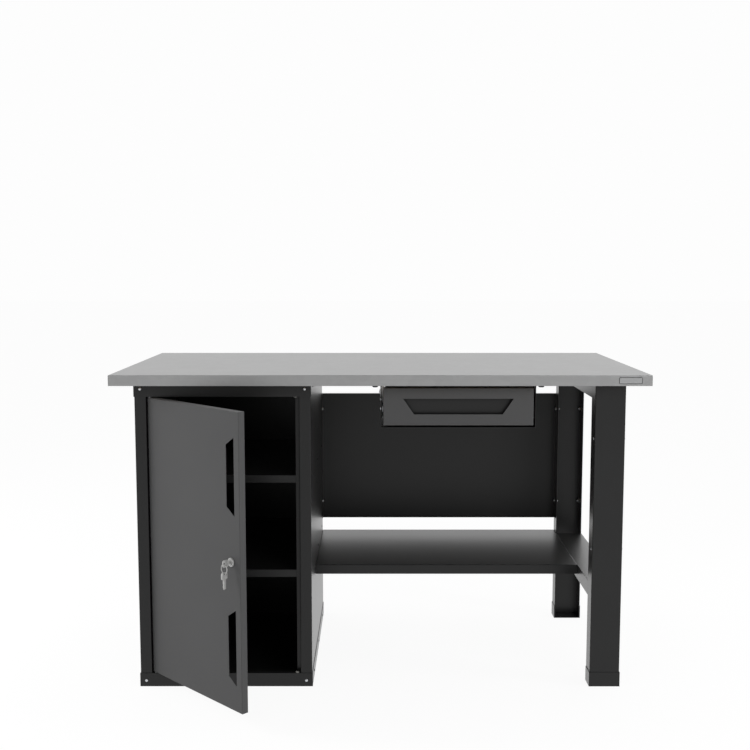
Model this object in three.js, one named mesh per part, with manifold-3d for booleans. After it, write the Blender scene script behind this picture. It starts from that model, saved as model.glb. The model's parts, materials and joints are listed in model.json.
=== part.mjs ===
// Workshop bench: a steel-clad worktop on a one-door cabinet and a leg frame, with a hanging drawer.
// Millimetres, +Z up. X runs along the bench, Y from the front edge to the back.
import * as THREE from 'three';
import { mergeVertices } from 'three/addons/utils/BufferGeometryUtils.js';
import Module from 'manifold-3d';

const wasm = await Module();
wasm.setup();

// Worktop
const benchHeight = 845;
const worktopWidth = 1400;
const worktopDepth = 685;
const worktopThickness = 28;
const worktopSkin = 1.5;

// Sheet metal and fits
const cabinetSheet = 1.2;
const legSheet = 2;
const drawerSheet = 1;
const bendInside = 0.5;
const bendSteps = 3;
const fitClearance = 0.3;
const roundSides = 24;

// Where the supports stand under the worktop
const endOverhang = 56.2;
const frontSetback = 37;
const rearSetback = 53;

// Cabinet
const cabinetWidth = 460.4;
const capHeight = 32.2;
const baseHeight = 37;
const stileWidth = 30.6;
const stopLip = 10.6;
const stopGap = 1.5;
const rearFlange = 20;
const upperShelfTop = 572;
const lowerShelfTop = 315;
const shelfEdge = 21;
const shelfHem = 10;
const shelfGap = 2.8;
const bracketHeight = 18;
const bracketWidth = 15;
const bracketEndGap = 4;

// Door, which stands ajar in the stored pose
const doorDepth = 18;
const doorReturn = 14;
const doorHingeGap = 5;
const doorLatchGap = 8.6;
const doorEndGap = 3;
const doorAjar = THREE.MathUtils.degToRad(45);
const pivotInset = 5;
const pivotRadius = 3;
const pivotReach = 8;
const pivotHead = 1.5;
const bushRadius = 4;
const bushFlange = 1;
const bushDepth = 3;
const slotLong = 192;
const slotShort = 152;
const slotWidth = 31.5;
const slotEdge = 19.5;
const slotEnd = 63;

// Cam lock and keys
const lockEdge = 33.6;
const lockRise = 2;
const lockHeadRadius = 11;
const lockHeadDepth = 4;
const lockChamfer = 1;
const barrelRadius = 9;
const barrelFlats = 16;
const plugRadius = 6.2;
const plugDrive = 8;
const nutAcross = 24;
const nutSides = 6;
const nutDepth = 5;
const camReach = 45;
const camWidth = 16;
const camDepth = 2;
const camGap = 0.6;
const camScrewHead = 5;
const camScrewHeadDepth = 3;
const camScrewRadius = 2;
const camScrewLength = 5;
const keyThickness = 2.2;
const keyBowLength = 19;
const keyBowWidth = 18;
const keyBowCorner = 5;
const keyBladeLength = 24;
const keyBladeWidth = 8;
const keyTip = 2;
const keyNotches = 4;
const keyNotchDepth = 1.6;
const keyNotchPitch = 4;
const keyStandOff = 4;
const keyHoleRadius = 3;
const keyHoleInset = 5;
const ringRadius = 11;
const ringWire = 1;
const ringSides = 32;
const ringWireSides = 8;

// Leg frame, back panel and lower shelf
const legWidth = 79.9;
const legDepth = 46;
const footHeight = 39;
const railHeight = 40;
const lowerShelfHeight = 278;
const lowerShelfDepth = 398;
const lowerShelfEdge = 26.5;
const backPanelBottom = 321.5;
const backPanelDrop = 95;
const backPanelSide = 30;
const backPanelHem = 15;

// Hanging drawer
const drawerCentre = 204.5;
const casingWidth = 405;
const casingHeight = 114.2;
const casingFlange = 30;
const casingRear = 13;
const facadeWidth = 392.5;
const facadeDrop = 9.2;
const facadeHeight = 98.6;
const facadeDepth = 18;
const facadeReturn = 12;
const gripTop = 289;
const gripFoot = 232;
const gripHeight = 41.2;
const gripRise = 29.2;
const boxLift = 3.5;
const boxHeight = 82;
const slideLength = 400;
const slideHeight = 45.7;
const slideThickness = 12.7;
const slideSheet = 1.2;
const slideDrop = 66.7;
const slideWebGap = 0.4;
const cageSheet = 0.8;
const cageLength = 200;
const ballRadius = 1.5;
const ballSides = 8;
const ballRings = 6;
const ballsPerRow = 5;

// Levels and planes that follow from the sizes above
const underTop = benchHeight - worktopThickness;
const supportTop = underTop - fitClearance;
const wrap = cabinetSheet + fitClearance;
const bodyFront = frontSetback + wrap;
const bodyRear = worktopDepth - rearSetback - wrap;
const cabinetLeft = -worktopWidth / 2 + endOverhang + wrap;
const cabinetRight = cabinetLeft + cabinetWidth;
const openingLeft = cabinetLeft + stileWidth;
const openingRight = cabinetRight - stileWidth;
const openingTop = supportTop - capHeight;
const stopFace = bodyFront + doorDepth + stopGap;
const pivotCollar = pivotInset;
const legRight = worktopWidth / 2 - endOverhang - wrap;
const legLeft = legRight - legWidth;
const backPanelTop = supportTop - backPanelDrop;
const casingBottom = supportTop - casingHeight;
const facadeBottom = supportTop - facadeDrop - facadeHeight;
const slideLevel = supportTop - slideDrop;

// Finishes
const finish = (color, roughness, metalness) => {
  return new THREE.MeshStandardMaterial({ color, roughness, metalness });
};
const blackCoat = finish(0x2e2f30, 0.55, 0.1);
const greyCoat = finish(0x595959, 0.5, 0.1);
const galvanised = finish(0xb4b4b4, 0.45, 0.8);
const plywood = finish(0xb08d5f, 0.8, 0);
const zinc = finish(0xc9cbd0, 0.35, 0.9);
const nickel = finish(0xd6d6d6, 0.2, 1);
const nylon = finish(0xe6e6e0, 0.6, 0);

const AXIS_X = new THREE.Vector3(1, 0, 0);
const AXIS_Y = new THREE.Vector3(0, 1, 0);
const AXIS_Z = new THREE.Vector3(0, 0, 1);

// Turn a geometry so that its own x, y and z run along three given directions.
function turned(geometry, x, y, z) {
  return geometry.applyMatrix4(new THREE.Matrix4().makeBasis(x, y, z));
}

function extruded(shape, depth) {
  return new THREE.ExtrudeGeometry(shape, { depth, bevelEnabled: false, curveSegments: roundSides / 2 });
}

// A plan outline in (x, y) raised from one level to another.
function upright(shape, bottom, top) {
  return extruded(shape, top - bottom).translate(0, 0, bottom);
}

// A section in (y, z) drawn along X.
function alongX(shape, start, end) {
  return turned(extruded(shape, end - start), AXIS_Y, AXIS_Z, AXIS_X).translate(start, 0, 0);
}

// A section in (x, z) drawn along Y.
function alongY(shape, start, end) {
  return turned(extruded(shape, end - start), AXIS_X, AXIS_Z, AXIS_Y.clone().negate()).translate(0, end, 0);
}

function block(x0, x1, y0, y1, z0, z1) {
  const geometry = new THREE.BoxGeometry(x1 - x0, y1 - y0, z1 - z0);
  return geometry.translate((x0 + x1) / 2, (y0 + y1) / 2, (z0 + z1) / 2);
}

// A revolved profile of (radius, height) points about Y.
function revolved(points) {
  const profile = points.map(([radius, height]) => new THREE.Vector2(radius, height));
  return new THREE.LatheGeometry(profile, roundSides);
}

// The same about an upright axis.
function revolvedUpright(points) {
  return turned(revolved(points), AXIS_X, AXIS_Z, AXIS_Y.clone().negate());
}

// A closed mesh with shared vertices as a solid that can be joined and cut.
function solid(geometry) {
  const bare = geometry.clone();
  bare.deleteAttribute('normal');
  bare.deleteAttribute('uv');
  const merged = mergeVertices(bare);
  const corners = merged.index.array;
  const kept = [];
  for (let i = 0; i < corners.length; i += 3) {
    const [a, b, c] = corners.slice(i, i + 3);
    if (a !== b && b !== c && c !== a) {
      kept.push(a, b, c);
    }
  }
  return new wasm.Manifold(new wasm.Mesh({
    numProp: 3,
    vertProperties: new Float32Array(merged.attributes.position.array),
    triVerts: new Uint32Array(kept),
  }));
}

function geometryOf(body) {
  const mesh = body.getMesh();
  const geometry = new THREE.BufferGeometry();
  geometry.setAttribute('position', new THREE.BufferAttribute(mesh.vertProperties, 3));
  geometry.setIndex(new THREE.BufferAttribute(mesh.triVerts, 1));
  return geometry;
}

function joined(first, ...others) {
  return geometryOf(others.reduce((body, other) => body.add(solid(other)), solid(first)));
}

function cut(first, ...tools) {
  return geometryOf(tools.reduce((body, tool) => body.subtract(solid(tool)), solid(first)));
}

function common(first, second) {
  return geometryOf(solid(first).intersect(solid(second)));
}

// Round each inner corner of a polyline with its own radius.
function roundedCorners(points, radii) {
  const result = [points[0]];
  for (let i = 1; i < points.length - 1; i += 1) {
    const corner = points[i];
    const back = points[i - 1].clone().sub(corner).normalize();
    const ahead = points[i + 1].clone().sub(corner).normalize();
    const half = Math.acos(back.dot(ahead)) / 2;
    const bisector = back.clone().add(ahead).normalize();
    const centre = corner.clone().addScaledVector(bisector, radii[i] / Math.sin(half));
    const first = corner.clone().addScaledVector(back, radii[i] / Math.tan(half)).sub(centre);
    const sweep = Math.sign(back.cross(ahead)) * (half * 2 - Math.PI);
    for (let step = 0; step <= bendSteps; step += 1) {
      result.push(first.clone().rotateAround(new THREE.Vector2(), (sweep * step) / bendSteps).add(centre));
    }
  }
  result.push(points.at(-1));
  return result;
}

// The section of a folded sheet. The path follows one face, and the sheet lies on its left.
function foldedSection(path, sheet) {
  const face = path.map(([x, y]) => new THREE.Vector2(x, y));
  const left = (from, to) => {
    return new THREE.Vector2(from.y - to.y, to.x - from.x).normalize().multiplyScalar(sheet);
  };
  const last = face.length - 1;
  const far = face.map((point, i) => {
    const before = left(face[Math.max(i - 1, 0)], face[Math.max(i, 1)]);
    const after = left(face[Math.min(i, last - 1)], face[Math.min(i + 1, last)]);
    return i === 0 || i === last ? point.clone().add(before) : point.clone().add(before).add(after);
  });
  const turnsLeft = face.map((point, i) => {
    const before = point.clone().sub(face[Math.max(i - 1, 0)]);
    return i < last && before.cross(face[i + 1].clone().sub(point)) > 0;
  });
  const nearRadii = turnsLeft.map((inside) => bendInside + (inside ? sheet : 0));
  const farRadii = turnsLeft.map((inside) => bendInside + (inside ? 0 : sheet));
  const outline = [...roundedCorners(face, nearRadii), ...roundedCorners(far, farRadii).reverse()];
  return new THREE.Shape(outline);
}

// A block whose bottom edges are rounded, centred on Z, with its top open to be cut.
function tub(width, length, depth, radius) {
  const section = (span) => {
    const corners = [[-span / 2, depth], [-span / 2, 0], [span / 2, 0], [span / 2, depth]];
    const points = corners.map(([x, y]) => new THREE.Vector2(x, y));
    return new THREE.Shape(roundedCorners(points, corners.map(() => radius)));
  };
  return common(
    alongX(section(length), -width / 2, width / 2),
    alongY(section(width), -length / 2, length / 2),
  );
}

// A pressed tray: its face lies on z = 0 and its walls rise to depth. Where a lip is given, the walls
// at the ends of that axis are turned in by it.
function pressedTray(width, length, depth, sheet, lipX = sheet, lipY = sheet) {
  const inside = tub(width - 2 * sheet, length - 2 * sheet, depth - 2 * sheet, fitClearance);
  const mouthX = width / 2 - lipX;
  const mouthY = length / 2 - lipY;
  return cut(
    tub(width, length, depth, sheet + fitClearance),
    inside.translate(0, 0, sheet),
    block(-mouthX, mouthX, -mouthY, mouthY, depth / 2, depth + sheet),
  );
}

// A tray turned with its face up, to the front or to the back.
const faceUp = (tray) => turned(tray, AXIS_X, AXIS_Y.clone().negate(), AXIS_Z.clone().negate());
const faceFront = (tray) => turned(tray, AXIS_X.clone().negate(), AXIS_Z, AXIS_Y);
const faceBack = (tray) => turned(tray, AXIS_X, AXIS_Z, AXIS_Y.clone().negate());

function add(group, name, geometry, material) {
  const mesh = new THREE.Mesh(geometry, material);
  mesh.name = name;
  group.add(mesh);
}

const bench = new THREE.Group();

// Worktop: a board with a galvanised skin folded down over its four edges.
function addWorktop() {
  const skin = pressedTray(worktopWidth, worktopDepth, worktopThickness, worktopSkin);
  add(bench, 'worktop_skin', faceUp(skin).translate(0, worktopDepth / 2, benchHeight), galvanised);
  const edge = worktopSkin + fitClearance;
  const halfBoard = worktopWidth / 2 - edge;
  const board = block(-halfBoard, halfBoard, edge, worktopDepth - edge, underTop, benchHeight - edge);
  add(bench, 'worktop_board', board, plywood);
}

// Cabinet carcass: two folded sides in a base tray, closed by a top cap that is pressed alike.
const cabinetMiddle = (cabinetLeft + cabinetRight) / 2;
const cabinetInnerBottom = wrap;
const cabinetInnerTop = supportTop - wrap;
const backFace = bodyRear - wrap;
const pivotX = openingLeft + doorHingeGap + pivotInset;
const pivotY = bodyFront + pivotInset;
const sparePivotX = openingRight - (pivotX - openingLeft);

function addCabinetSides() {
  const left = foldedSection([
    [cabinetLeft + rearFlange, bodyRear],
    [cabinetLeft, bodyRear],
    [cabinetLeft, bodyFront],
    [openingLeft, bodyFront],
    [openingLeft, stopFace],
    [openingLeft + stopLip, stopFace],
  ], cabinetSheet);
  add(bench, 'cabinet_left_side', upright(left, cabinetInnerBottom, cabinetInnerTop), blackCoat);
  const backOfLip = stopFace + cabinetSheet;
  const right = foldedSection([
    [openingRight - stopLip, backOfLip],
    [openingRight + cabinetSheet, backOfLip],
    [openingRight + cabinetSheet, bodyFront + cabinetSheet],
    [cabinetRight - cabinetSheet, bodyFront + cabinetSheet],
    [cabinetRight - cabinetSheet, bodyRear - cabinetSheet],
    [cabinetRight - rearFlange, bodyRear - cabinetSheet],
  ].reverse(), cabinetSheet);
  add(bench, 'cabinet_right_side', upright(right, cabinetInnerBottom, cabinetInnerTop), blackCoat);
  const edge = cabinetSheet + bendInside;
  const back = block(
    cabinetLeft + edge, cabinetRight - edge,
    backFace - cabinetSheet, backFace,
    cabinetInnerBottom, cabinetInnerTop,
  );
  add(bench, 'cabinet_back', back, blackCoat);
}

// The cap and the tray carry the door's pivots on a flange turned in along the front wall.
function addCabinetEnds() {
  const width = cabinetWidth + 2 * wrap;
  const depth = worktopDepth - frontSetback - rearSetback;
  const middleY = frontSetback + depth / 2;
  const flange = (bottom) => block(
    openingLeft + fitClearance, openingRight - fitClearance,
    frontSetback, stopFace - fitClearance,
    bottom, bottom + cabinetSheet,
  );
  const drill = (x, radius, level) => {
    const hole = new THREE.Shape().absarc(x, pivotY, radius + fitClearance, 0, 2 * Math.PI);
    return upright(hole, level - cabinetSheet, level + 2 * cabinetSheet);
  };
  const finishEnd = (tray, level) => cut(
    joined(tray, flange(level)),
    drill(pivotX, pivotRadius, level),
    drill(sparePivotX, bushRadius, level),
  );
  const cap = faceUp(pressedTray(width, depth, capHeight, cabinetSheet));
  cap.translate(cabinetMiddle, middleY, supportTop);
  add(bench, 'cabinet_top_cap', finishEnd(cap, openingTop), blackCoat);
  const base = pressedTray(width, depth, baseHeight, cabinetSheet);
  base.translate(cabinetMiddle, middleY, 0);
  add(bench, 'cabinet_base_tray', finishEnd(base, baseHeight - cabinetSheet), blackCoat);
}

// A shelf hangs its folded front edge over two angle brackets on the cabinet's sides.
const shelfFront = stopFace + cabinetSheet + shelfGap;
const shelfRear = backFace - wrap;
const shelfLeft = cabinetLeft + wrap;
const shelfRight = cabinetRight - wrap;

function addCabinetShelf(level, top) {
  const bottom = top - shelfEdge;
  const section = foldedSection([
    [shelfRear, bottom],
    [shelfRear, top],
    [shelfFront, top],
    [shelfFront, bottom],
    [shelfFront + shelfHem, bottom],
  ], cabinetSheet);
  add(bench, `cabinet_shelf_${level}`, alongX(section, shelfLeft, shelfRight), blackCoat);
  const seat = top - wrap;
  const start = shelfFront + shelfHem + bracketEndGap;
  const end = shelfRear - cabinetSheet - bracketEndGap;
  const foot = seat - bracketHeight;
  const bracket = (side, path) => {
    const angle = alongY(foldedSection(path, cabinetSheet), start, end);
    add(bench, `shelf_bracket_${level}_${side}`, angle, blackCoat);
  };
  bracket('left', [[shelfLeft + bracketWidth, seat], [shelfLeft, seat], [shelfLeft, foot]]);
  bracket('right', [[shelfRight, foot], [shelfRight, seat], [shelfRight - bracketWidth, seat]]);
}

// Pivots: a riveted pin with a collar that the door turns on, and an open bush for a door hung on the
// other side.
function addPivots() {
  const seat = fitClearance;
  const collarTop = doorEndGap - fitClearance;
  const pin = () => revolvedUpright([
    [0, -wrap - pivotHead],
    [pivotCollar, -wrap - pivotHead],
    [pivotCollar, -wrap],
    [pivotRadius, -wrap],
    [pivotRadius, seat],
    [pivotCollar, seat],
    [pivotCollar, collarTop],
    [pivotRadius, collarTop],
    [pivotRadius, pivotReach],
    [0, pivotReach],
  ]);
  const bush = () => revolvedUpright([
    [pivotRadius, -bushDepth],
    [bushRadius, -bushDepth],
    [bushRadius, seat],
    [pivotCollar, seat],
    [pivotCollar, seat + bushFlange],
    [pivotRadius, seat + bushFlange],
    [pivotRadius, -bushDepth],
  ]);
  const overhead = (geometry) => turned(geometry, AXIS_X, AXIS_Y.clone().negate(), AXIS_Z.clone().negate());
  add(bench, 'hinge_pin_bottom', pin().translate(pivotX, pivotY, baseHeight), zinc);
  add(bench, 'hinge_pin_top', overhead(pin()).translate(pivotX, pivotY, openingTop), zinc);
  add(bench, 'spare_bush_bottom', bush().translate(sparePivotX, pivotY, baseHeight), nylon);
  add(bench, 'spare_bush_top', overhead(bush()).translate(sparePivotX, pivotY, openingTop), nylon);
}

// Door, in its own frame: the pivot is the origin, x runs to the free edge and y into the cabinet.
const door = new THREE.Group();
door.position.set(pivotX, pivotY, 0);
door.rotation.z = -doorAjar;
bench.add(door);
const doorWidth = openingRight - openingLeft - doorHingeGap - doorLatchGap;
const doorBottom = baseHeight + doorEndGap;
const doorTop = openingTop - doorEndGap;
const doorFree = doorWidth - pivotInset;
const doorFace = -pivotInset;
const lockX = doorFree - lockEdge;
const doorMiddle = (doorBottom + doorTop) / 2;
const lockZ = doorMiddle + lockRise;

// A round section with two flats, as the lock's barrel and its hole in the door have.
function barrelSection(radius, flats) {
  const angle = Math.acos(flats / 2 / radius);
  const shape = new THREE.Shape();
  shape.absarc(lockX, lockZ, radius, angle, Math.PI - angle);
  shape.absarc(lockX, lockZ, radius, Math.PI + angle, 2 * Math.PI - angle);
  return shape;
}

function addDoorPanel() {
  const pan = faceFront(pressedTray(doorWidth, doorTop - doorBottom, doorDepth, cabinetSheet, doorReturn));
  pan.translate(doorFree - doorWidth / 2, doorFace, doorMiddle);
  const through = (shape) => alongY(shape, doorFace - cabinetSheet, doorFace + 2 * cabinetSheet);
  const slot = (bottom) => {
    const outer = doorFree - slotEdge;
    const inner = outer - slotWidth;
    const slant = (slotLong - slotShort) / 2;
    const corners = [
      [outer, bottom],
      [outer, bottom + slotLong],
      [inner, bottom + slotLong - slant],
      [inner, bottom + slant],
    ];
    return through(new THREE.Shape(corners.map(([x, z]) => new THREE.Vector2(x, z))));
  };
  const pivotHole = new THREE.Shape().absarc(0, 0, pivotRadius + fitClearance, 0, 2 * Math.PI);
  const panel = cut(
    pan,
    slot(doorBottom + slotEnd),
    slot(doorTop - slotEnd - slotLong),
    through(barrelSection(barrelRadius + fitClearance, barrelFlats + 2 * fitClearance)),
    upright(pivotHole, doorBottom - cabinetSheet, doorBottom + 2 * cabinetSheet),
    upright(pivotHole, doorTop - 2 * cabinetSheet, doorTop + cabinetSheet),
  );
  add(door, 'door_panel', panel, greyCoat);
}

// Cam lock: a headed barrel held by a nut, a plug that turns in it, and a cam screwed to the plug's end.
const headBack = doorFace - fitClearance;
const headFront = headBack - lockHeadDepth;
const camFront = stopFace + cabinetSheet - pivotY + camGap;
const camBack = camFront + camDepth;
const barrelEnd = camFront - 2 * fitClearance;
const keyTipY = headFront - keyStandOff + keyBladeLength;
const screwEnd = camBack + fitClearance - camScrewLength;

function addLock() {
  const boreRadius = plugRadius + fitClearance;
  const head = revolved([
    [boreRadius, headFront],
    [lockHeadRadius - lockChamfer, headFront],
    [lockHeadRadius, headFront + lockChamfer],
    [lockHeadRadius, headBack],
    [boreRadius, headBack],
    [boreRadius, headFront],
  ]).translate(lockX, 0, lockZ);
  const barrel = barrelSection(barrelRadius, barrelFlats);
  barrel.holes.push(new THREE.Path().absarc(lockX, lockZ, boreRadius, 0, 2 * Math.PI, true));
  add(door, 'lock_body', joined(head, alongY(barrel, headBack - lockHeadDepth / 2, barrelEnd)), nickel);

  const corner = nutAcross / 2 / Math.cos(Math.PI / nutSides);
  const hexagon = new THREE.Shape();
  for (let side = 0; side < nutSides; side += 1) {
    const angle = (side * 2 * Math.PI) / nutSides;
    const point = [lockX + corner * Math.cos(angle), lockZ + corner * Math.sin(angle)];
    if (side === 0) {
      hexagon.moveTo(...point);
    } else {
      hexagon.lineTo(...point);
    }
  }
  const thread = new THREE.Path().absarc(lockX, lockZ, barrelRadius + fitClearance, 0, 2 * Math.PI, true);
  hexagon.holes.push(thread);
  const nutFront = doorFace + cabinetSheet + fitClearance;
  add(door, 'lock_nut', alongY(hexagon, nutFront, nutFront + nutDepth), zinc);
}

// The plug, the cam and its screw turn together about the lock's axis.
function addLockCore() {
  const disc = (radius) => new THREE.Shape().absarc(lockX, lockZ, radius, 0, 2 * Math.PI);
  const square = (size) => {
    const half = size / 2;
    const corners = [[-half, -half], [half, -half], [half, half], [-half, half]];
    return corners.map(([x, z]) => new THREE.Vector2(lockX + x, lockZ + z));
  };
  const slotHalfX = keyThickness / 2 + fitClearance;
  const slotHalfZ = keyBladeWidth / 2 + fitClearance;
  const plug = cut(
    joined(
      alongY(disc(plugRadius), headFront, barrelEnd),
      alongY(new THREE.Shape(square(plugDrive)), barrelEnd - plugDrive, camBack),
    ),
    block(
      lockX - slotHalfX, lockX + slotHalfX,
      headFront - keyStandOff, keyTipY + fitClearance,
      lockZ - slotHalfZ, lockZ + slotHalfZ,
    ),
    alongY(disc(camScrewRadius + fitClearance), screwEnd - fitClearance, camBack + camDepth),
  );
  add(door, 'lock_plug', plug, nickel);

  const half = camWidth / 2;
  const tongue = new THREE.Shape();
  tongue.absarc(lockX, lockZ, half, Math.PI, 2 * Math.PI);
  tongue.absarc(lockX, lockZ + camReach - half, half, 0, Math.PI);
  tongue.holes.push(new THREE.Path(square(plugDrive + 2 * fitClearance).reverse()));
  add(door, 'lock_cam', alongY(tongue, camFront, camBack), zinc);

  const washer = camBack + fitClearance;
  const screw = revolved([
    [0, screwEnd],
    [camScrewRadius, screwEnd],
    [camScrewRadius, washer],
    [camScrewHead, washer],
    [camScrewHead, washer + camScrewHeadDepth / 2],
    [camScrewHead / 2, washer + camScrewHeadDepth],
    [0, washer + camScrewHeadDepth],
  ]);
  add(door, 'cam_screw', screw.translate(lockX, 0, lockZ), zinc);
}

// A flat key drawn along its blade: the bow ends at zero, the notched blade runs on from there.
function keyGeometry() {
  const half = keyBladeWidth / 2;
  const bowHalf = keyBowWidth / 2;
  const cornerX = keyBowCorner - keyBowLength;
  const cornerZ = bowHalf - keyBowCorner;
  const shape = new THREE.Shape();
  shape.moveTo(0, half);
  shape.lineTo(0, bowHalf);
  shape.absarc(cornerX, cornerZ, keyBowCorner, Math.PI / 2, Math.PI);
  shape.absarc(cornerX, -cornerZ, keyBowCorner, Math.PI, 1.5 * Math.PI);
  shape.lineTo(0, -bowHalf);
  shape.lineTo(0, -half);
  for (let notch = 0; notch < keyNotches; notch += 1) {
    const middle = keyBladeLength - keyTip - keyNotchPitch * (keyNotches - notch - 0.5);
    const depth = notch % 2 ? keyNotchDepth : keyNotchDepth / 2;
    shape.lineTo(middle - depth, -half);
    shape.lineTo(middle, depth - half);
    shape.lineTo(middle + depth, -half);
  }
  shape.lineTo(keyBladeLength - keyTip, -half);
  shape.lineTo(keyBladeLength, 0);
  shape.lineTo(keyBladeLength - keyTip, half);
  const hole = new THREE.Path().absarc(keyHoleInset - keyBowLength, 0, keyHoleRadius, 0, 2 * Math.PI, true);
  shape.holes.push(hole);
  return extruded(shape, keyThickness).translate(0, 0, -keyThickness / 2);
}

// One key stands in the plug. The ring hangs in its bow and carries the spare key.
const bowEndY = headFront - keyStandOff;
const ringY = bowEndY - keyBowLength + keyHoleInset;
const ringTopZ = lockZ - keyHoleRadius + ringWire + fitClearance;
const ringBottomZ = ringTopZ - 2 * ringRadius;

function addKeys() {
  const key = turned(keyGeometry(), AXIS_Y, AXIS_Z, AXIS_X).translate(lockX, bowEndY, lockZ);
  add(door, 'key', key, nickel);
  const torus = new THREE.TorusGeometry(ringRadius, ringWire, ringWireSides, ringSides);
  const ring = turned(torus, AXIS_X, AXIS_Z, AXIS_Y.clone().negate());
  add(door, 'key_ring', ring.translate(lockX, ringY, ringTopZ - ringRadius), nickel);
  const holeZ = ringBottomZ + ringWire + fitClearance - keyHoleRadius;
  const spare = turned(keyGeometry(), AXIS_Z.clone().negate(), AXIS_Y, AXIS_X);
  add(door, 'spare_key', spare.translate(lockX, ringY, holeZ + keyHoleInset - keyBowLength), nickel);
}

// Leg frame: two channels that stand in folded feet, joined by an upper and a lower rail.
function addLegFrame() {
  const legBack = bodyFront + legDepth;
  const legFront = bodyRear - legDepth;
  const footPlate = legSheet;
  const channel = (left, right, mouth, web) => [[left, mouth], [left, web], [right, web], [right, mouth]];
  const leg = (path) => upright(foldedSection(path, legSheet), footPlate + fitClearance, supportTop);
  const foot = (path) => {
    const plate = new THREE.Shape(path.map(([x, y]) => new THREE.Vector2(x, y)));
    return joined(upright(foldedSection(path, cabinetSheet), 0, footHeight), upright(plate, 0, footPlate));
  };
  const footLeft = legLeft - wrap;
  const footRight = legRight + wrap;
  add(bench, 'front_leg', leg(channel(legLeft, legRight, legBack, bodyFront)), blackCoat);
  add(bench, 'front_foot', foot(channel(footLeft, footRight, legBack, frontSetback)), blackCoat);
  add(bench, 'rear_leg', leg(channel(legLeft, legRight, legFront, bodyRear).reverse()), blackCoat);
  const footRear = worktopDepth - rearSetback;
  add(bench, 'rear_foot', foot(channel(footLeft, footRight, legFront, footRear).reverse()), blackCoat);
  const rail = (top) => {
    const path = channel(legLeft, legRight, top - railHeight, top).reverse();
    return alongY(foldedSection(path, legSheet), legBack + fitClearance, legFront - fitClearance);
  };
  add(bench, 'upper_side_rail', rail(supportTop), blackCoat);
  add(bench, 'lower_side_rail', rail(lowerShelfHeight), blackCoat);
}

// The lower shelf and the back panel span from the cabinet's side to the leg frame.
function addSpanningSheets() {
  const left = cabinetRight + fitClearance;
  const right = legLeft - fitClearance;
  const middle = (left + right) / 2;
  const shelf = faceUp(pressedTray(right - left, lowerShelfDepth, lowerShelfEdge, cabinetSheet));
  shelf.translate(middle, bodyRear - lowerShelfDepth / 2, lowerShelfHeight);
  add(bench, 'lower_shelf', shelf, blackCoat);
  const height = backPanelTop - backPanelBottom;
  const tray = faceBack(pressedTray(right - left, height, backPanelSide, cabinetSheet));
  const panel = tray.translate(middle, bodyRear, (backPanelBottom + backPanelTop) / 2);
  const relief = (bottom, top) => block(
    left + cabinetSheet, right - cabinetSheet,
    bodyRear - backPanelSide - cabinetSheet, bodyRear - backPanelHem,
    bottom, top,
  );
  const hemmed = cut(
    panel,
    relief(backPanelBottom - cabinetSheet, backPanelBottom + 2 * cabinetSheet),
    relief(backPanelTop - 2 * cabinetSheet, backPanelTop + cabinetSheet),
  );
  add(bench, 'back_panel', hemmed, blackCoat);
}

// Hanging drawer: a folded casing under the worktop, a box on two telescopic slides, and its front.
const casingLeft = drawerCentre - casingWidth / 2;
const casingRight = drawerCentre + casingWidth / 2;
const boxFront = frontSetback + facadeDepth + fitClearance;
const boxWidth = casingWidth - 2 * (wrap + slideThickness + fitClearance);
const slideRear = boxFront + slideLength;

function addDrawerCasing() {
  const flange = supportTop - cabinetSheet;
  const section = foldedSection([
    [casingLeft - casingFlange, flange],
    [casingLeft, flange],
    [casingLeft, casingBottom],
    [casingRight, casingBottom],
    [casingRight, flange],
    [casingRight + casingFlange, flange],
  ], cabinetSheet);
  add(bench, 'drawer_casing', alongY(section, bodyFront, slideRear + casingRear), blackCoat);
}

function addDrawerBox() {
  const bottom = facadeBottom + boxLift;
  const box = pressedTray(boxWidth, slideLength, boxHeight, drawerSheet);
  add(bench, 'drawer_box', box.translate(drawerCentre, boxFront + slideLength / 2, bottom), blackCoat);
  const tray = pressedTray(
    facadeWidth, facadeHeight, facadeDepth, cabinetSheet,
    cabinetSheet, facadeReturn,
  );
  const front = faceFront(tray).translate(drawerCentre, frontSetback, facadeBottom + facadeHeight / 2);
  const sill = facadeBottom + gripRise;
  const grip = new THREE.Shape([
    new THREE.Vector2(drawerCentre - gripFoot / 2, sill),
    new THREE.Vector2(drawerCentre + gripFoot / 2, sill),
    new THREE.Vector2(drawerCentre + gripTop / 2, sill + gripHeight),
    new THREE.Vector2(drawerCentre - gripTop / 2, sill + gripHeight),
  ]);
  const mouth = alongY(grip, frontSetback - cabinetSheet, frontSetback + 2 * cabinetSheet);
  add(bench, 'drawer_front', cut(front, mouth), greyCoat);
}

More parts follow.
